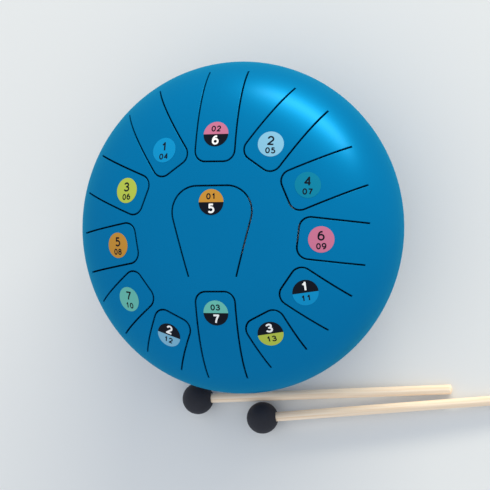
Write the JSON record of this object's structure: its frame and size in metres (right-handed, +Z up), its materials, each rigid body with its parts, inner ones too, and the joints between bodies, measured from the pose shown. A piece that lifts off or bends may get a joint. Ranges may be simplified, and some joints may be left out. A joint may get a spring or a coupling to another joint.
{
  "type": "tongue drum",
  "caption": "Round steel drum with slotted tongues in its domed face, numbered labels, rubber feet and two rubber-headed mallets lying beside it.",
  "frame": {"origin": "on the surface that the set stands on, under the middle of the whole set's bounding box; the drum's axis stands at x -46.5 mm, y 22.5 mm", "axes": "+Z up along the drum's axis; +Y from the drum's centre towards outer tongue 2; +X the way the mallets' sticks point"},
  "size_m": [0.393, 0.3449, 0.1626],
  "materials": {
    "blue_paint": "smooth satin paint on steel sheet",
    "label_orange": "printed vinyl",
    "label_pink": "printed vinyl",
    "label_mint": "printed vinyl",
    "label_sky": "printed vinyl",
    "label_pale_blue": "printed vinyl",
    "label_yellow_green": "printed vinyl",
    "label_teal": "printed vinyl",
    "foot_rubber": "matte",
    "head_rubber": "matte",
    "stick_wood": "smooth pale hardwood"
  },
  "bodies": {
    "drum": {"upper_shell": "blue_paint", "lower_shell": "blue_paint", "note_label_1": "label_orange", "note_label_2": "label_pink", "note_label_3": "label_mint", "note_label_4": "label_sky", "note_label_5": "label_pale_blue", "note_label_6": "label_yellow_green", "note_label_7": "label_teal", "note_label_8": "label_orange", "note_label_9": "label_pink", "note_label_10": "label_mint", "note_label_11": "label_sky", "note_label_12": "label_pale_blue", "note_label_13": "label_yellow_green", "rubber_foot_1": "foot_rubber", "rubber_foot_2": "foot_rubber", "rubber_foot_3": "foot_rubber", "rubber_foot_4": "foot_rubber"},
    "mallet_1": {"mallet_head_1": "head_rubber", "mallet_stick_1": "stick_wood"},
    "mallet_2": {"mallet_head_2": "head_rubber", "mallet_stick_2": "stick_wood"}
  },
  "joints": [
    {"name": "mallet_1_lift", "type": "slide", "parent": "drum", "child": "mallet_1", "axis": [0, 0, 1], "range_m": [0, 0.17]},
    {"name": "mallet_2_lift", "type": "slide", "parent": "drum", "child": "mallet_2", "axis": [0, 0, 1], "range_m": [0, 0.17]}
  ]
}
